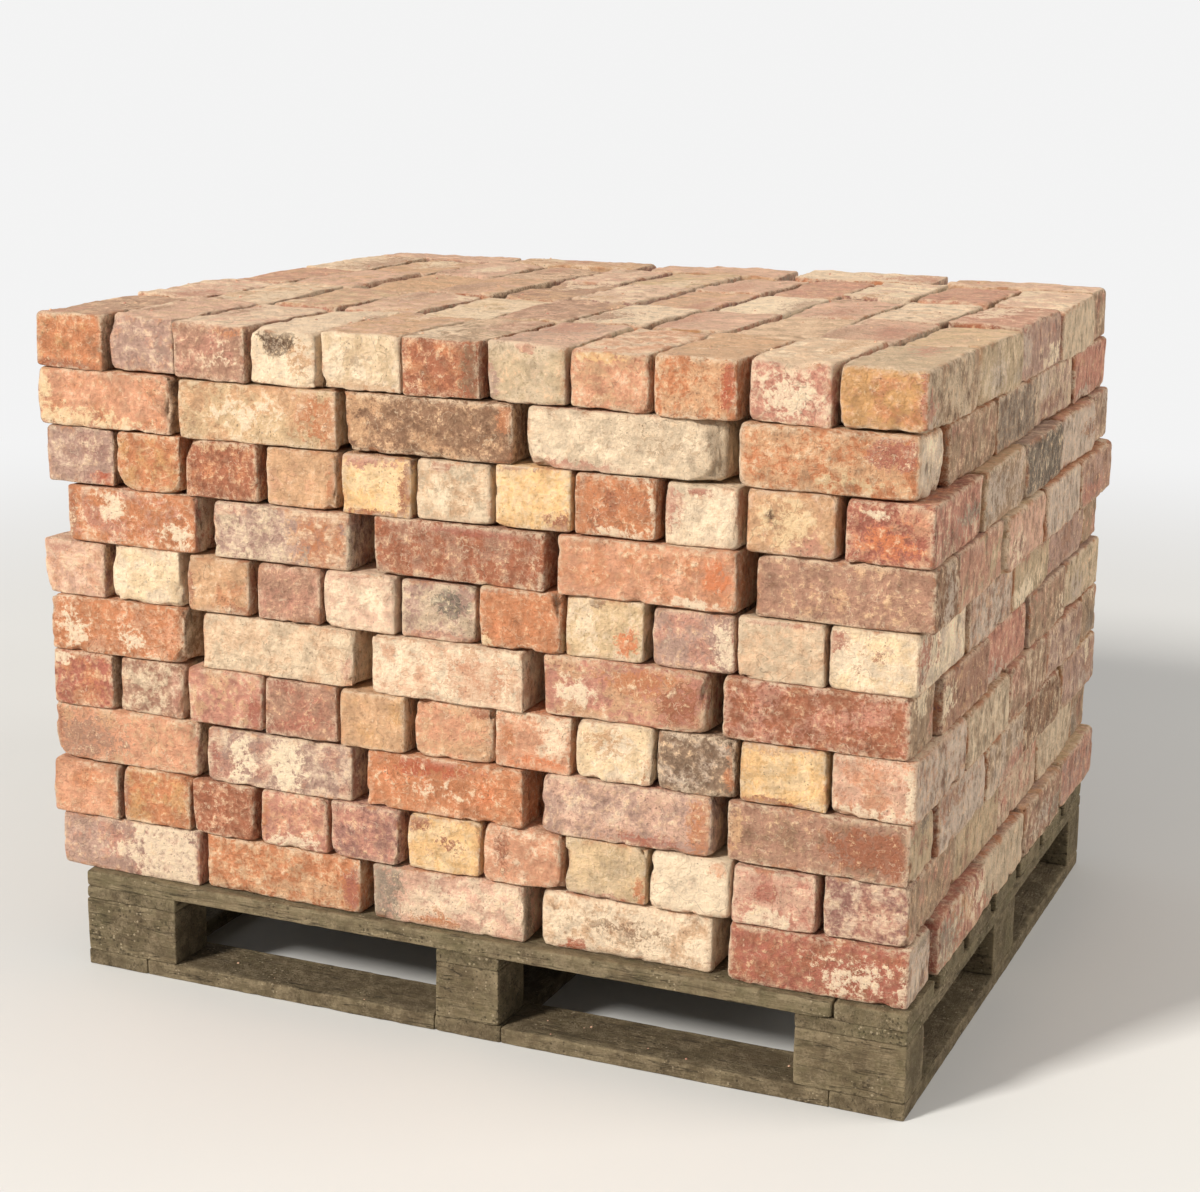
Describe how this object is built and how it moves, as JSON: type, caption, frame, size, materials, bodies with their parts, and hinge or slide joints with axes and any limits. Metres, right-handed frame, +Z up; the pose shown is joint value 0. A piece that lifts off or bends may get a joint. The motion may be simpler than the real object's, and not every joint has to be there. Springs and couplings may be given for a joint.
{
  "type": "pallet of bricks",
  "caption": "Reclaimed clay bricks stacked dry in courses of stretchers and headers on a weathered timber pallet with a perimeter base",
  "frame": {"origin": "on the floor under the middle of the pallet, on the underside of its centre base board", "axes": "+X to the right along the front, the pallet's longer side; +Y from the front to the back; +Z up"},
  "size_m": [1.2726, 1.0637, 0.9309],
  "materials": {
    "brick": "matte",
    "pallet_timber": "weathered"
  },
  "bodies": {
    "root": {"base_board_back_left": "pallet_timber", "base_board_back_right": "pallet_timber", "base_board_centre": "pallet_timber", "base_board_front_left": "pallet_timber", "base_board_front_right": "pallet_timber", "base_board_left": "pallet_timber", "base_board_right": "pallet_timber", "block_back_left": "pallet_timber", "block_back_middle": "pallet_timber", "block_back_right": "pallet_timber", "block_centre_left": "pallet_timber", "block_centre_middle": "pallet_timber", "block_centre_right": "pallet_timber", "block_front_left": "pallet_timber", "block_front_middle": "pallet_timber", "block_front_right": "pallet_timber", "course_01_inner_headers": "brick", "course_01_outer_headers": "brick", "course_01_stretchers": "brick", "course_02_inner_headers": "brick", "course_02_outer_headers": "brick", "course_02_stretchers": "brick", "course_03_inner_headers": "brick", "course_03_outer_headers": "brick", "course_03_stretchers": "brick", "course_04_inner_headers": "brick", "course_04_outer_headers": "brick", "course_04_stretchers": "brick", "course_05_inner_headers": "brick", "course_05_outer_headers": "brick", "course_05_stretchers": "brick", "course_06_inner_headers": "brick", "course_06_outer_headers": "brick", "course_06_stretchers": "brick", "course_07_inner_headers": "brick", "course_07_outer_headers": "brick", "course_07_stretchers": "brick", "course_08_inner_headers": "brick", "course_08_outer_headers": "brick", "course_08_stretchers": "brick", "course_09_inner_headers": "brick", "course_09_outer_headers": "brick", "course_09_stretchers": "brick", "course_10_inner_headers": "brick", "course_10_outer_headers": "brick", "course_10_stretchers": "brick", "deck_board_1": "pallet_timber", "deck_board_1_end_piece": "pallet_timber", "deck_board_2": "pallet_timber", "deck_board_3": "pallet_timber", "deck_board_4": "pallet_timber", "deck_board_5": "pallet_timber", "deck_board_6": "pallet_timber", "deck_board_7": "pallet_timber", "stringer_board_left": "pallet_timber", "stringer_board_middle": "pallet_timber", "stringer_board_right": "pallet_timber"}
  },
  "joints": []
}
